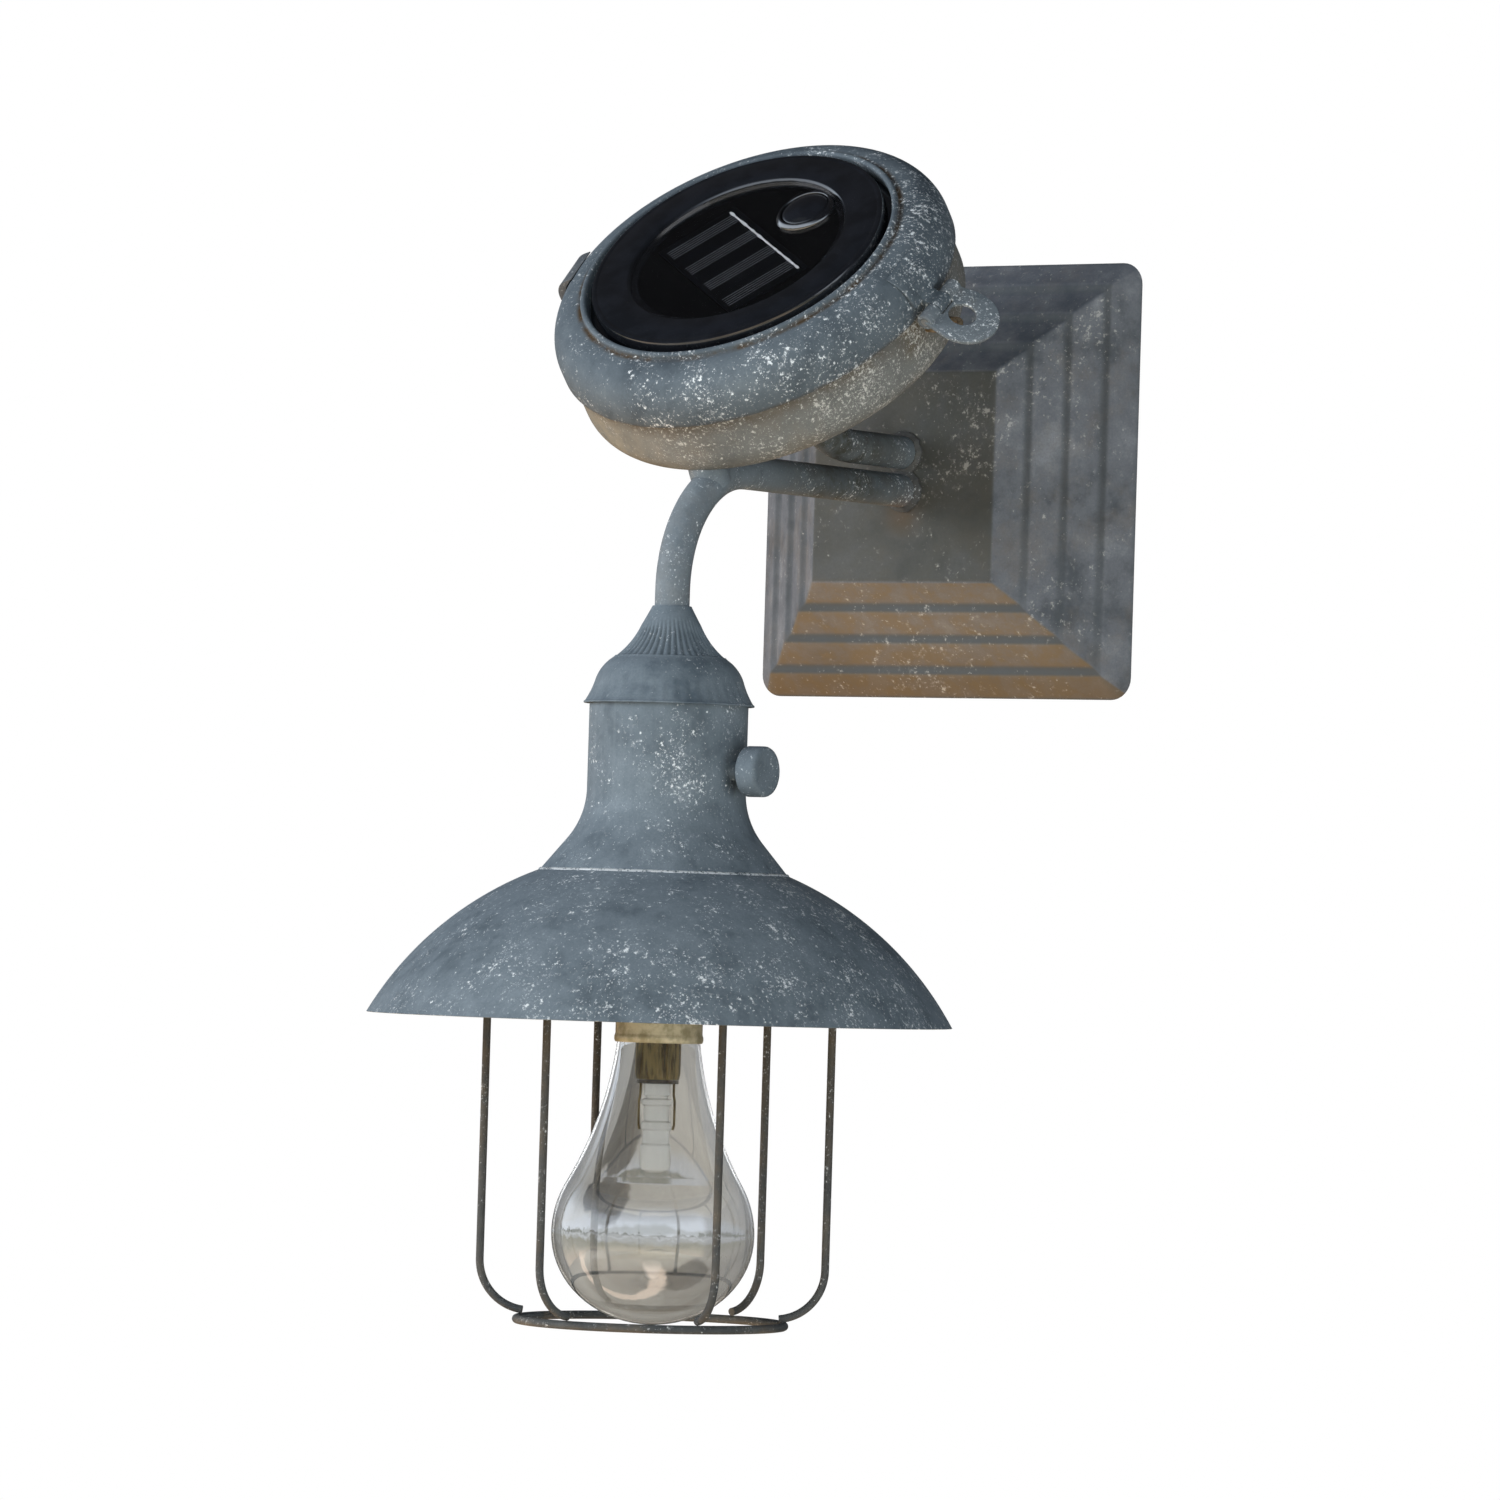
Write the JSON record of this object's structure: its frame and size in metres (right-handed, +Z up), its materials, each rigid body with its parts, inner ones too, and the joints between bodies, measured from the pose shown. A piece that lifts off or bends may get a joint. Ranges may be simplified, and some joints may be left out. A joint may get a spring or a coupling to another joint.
{
  "type": "solar wall lamp",
  "caption": "Wall lamp with a stepped back plate, a bent arm, a tilted solar head under a hinged and latched ring, and a barn shade with a turn knob, wire guard and clear bulb.",
  "frame": {"origin": "middle of the wall plate's back, between its two keyholes", "axes": "+Z up, +Y into the wall, so the lamp stands out along -Y, and +X to the right as seen from the room"},
  "size_m": [0.176, 0.2455, 0.3629],
  "materials": {
    "zinc": "weathered grey, satin",
    "zinc_warm": "weathered warm grey, satin",
    "steel": "satin",
    "knob_metal": "satin",
    "black_plastic": "satin",
    "gloss_black": "gloss",
    "window": "dark tinted, gloss",
    "silicon": "gloss",
    "silver": "bright",
    "board": "satin",
    "cell_wrap": "gloss",
    "rubber": "matt",
    "brass": "satin",
    "clear_glass": "clear, gloss"
  },
  "bodies": {
    "lamp": {"arm_tube": "zinc", "battery": "cell_wrap", "battery_contacts": "steel", "battery_door": "black_plastic", "bend_saddle": "zinc", "board_screws": "steel", "bulb_base": "brass", "bulb_glass": "clear_glass", "button_bezel": "black_plastic", "cage_ring": "zinc", "cage_wire_1": "zinc", "cage_wire_2": "zinc", "cage_wire_3": "zinc", "cage_wire_4": "zinc", "cage_wire_5": "zinc", "cage_wire_6": "zinc", "can_weld": "zinc", "cell_carrier": "black_plastic", "cell_lines": "silver", "circuit_board": "board", "crown_cap": "zinc", "door_screws": "steel", "hanger_strap": "steel", "hasp_staple": "zinc", "hinge_bracket": "zinc", "hinge_pin": "steel", "lamp_neck": "zinc", "lamp_socket": "black_plastic", "lead_wire": "rubber", "led_board": "board", "led_stem": "brass", "light_guide": "clear_glass", "lock_nut": "steel", "module_base": "black_plastic", "module_gasket": "rubber", "panel_weld": "zinc", "seat_ring": "steel", "shade": "zinc", "solar_cell": "silicon", "solar_frame": "black_plastic", "solar_housing": "zinc_warm", "solar_strut": "zinc", "solar_window": "window", "stem_pipe": "steel", "switch_body": "black_plastic", "switch_bush": "brass", "tact_switch": "black_plastic", "wall_plate": "zinc"},
    "lid": {"lid_ring": "zinc", "hinge_strap": "zinc", "hasp_strap": "zinc", "hasp_pin": "steel"},
    "hasp": {"hasp_tab": "zinc"},
    "push_button": {"button": "gloss_black"},
    "turn_knob": {"knob": "knob_metal", "knob_shaft": "steel"}
  },
  "joints": [
    {"name": "lid_hinge", "type": "hinge", "parent": "lamp", "child": "lid", "pos_m": [-0.06749, -0.11546, 0.04746], "axis": [0.0175, -0.7395, -0.6729], "range_deg": [0, 110]},
    {"name": "hasp_hinge", "type": "hinge", "parent": "lid", "child": "hasp", "pos_m": [0.06824, -0.12035, 0.04572], "axis": [0.0872, 0.7368, 0.6705], "range_deg": [-69, 57]},
    {"name": "button_press", "type": "slide", "parent": "lamp", "child": "push_button", "axis": [0, 0.673, -0.7396], "range_m": [0, 0.0012], "stiffness_N_per_m": 300},
    {"name": "knob_turn", "type": "hinge", "parent": "lamp", "child": "turn_knob", "pos_m": [0, -0.1575, -0.0965], "axis": [1, 0, 0], "range_deg": [0, 90]}
  ]
}
